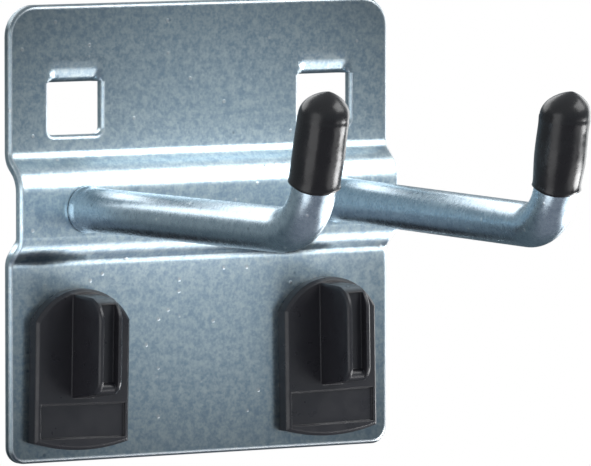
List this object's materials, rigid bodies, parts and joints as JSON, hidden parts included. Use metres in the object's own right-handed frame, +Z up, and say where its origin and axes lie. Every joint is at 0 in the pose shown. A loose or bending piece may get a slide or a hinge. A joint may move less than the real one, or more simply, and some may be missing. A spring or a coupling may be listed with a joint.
{
  "type": "pegboard hook",
  "caption": "Tool hook for a square-hole panel: folded steel back plate with claws, bent round rods with soft end caps, and push-in locking clips.",
  "frame": {"origin": "on the back face of the plate, midway between the two claws, level with the upper row of panel holes", "axes": "+Z up, +Y into the panel, so the hooks reach out along -Y; +X to the right as seen from in front"},
  "size_m": [0.0578, 0.0683, 0.0593],
  "materials": {
    "zinc_sheet": "zinc plated, satin",
    "zinc_rod": "zinc plated, satin",
    "soft_cap": "dip-moulded, semi-gloss black",
    "clip_plastic": "moulded, satin black"
  },
  "bodies": {
    "root": {"back_plate": "zinc_sheet", "hook_rod_left": "zinc_rod", "hook_rod_right": "zinc_rod", "end_cap_left": "soft_cap", "end_cap_right": "soft_cap", "locking_clip_left": "clip_plastic", "locking_clip_right": "clip_plastic"}
  },
  "joints": []
}
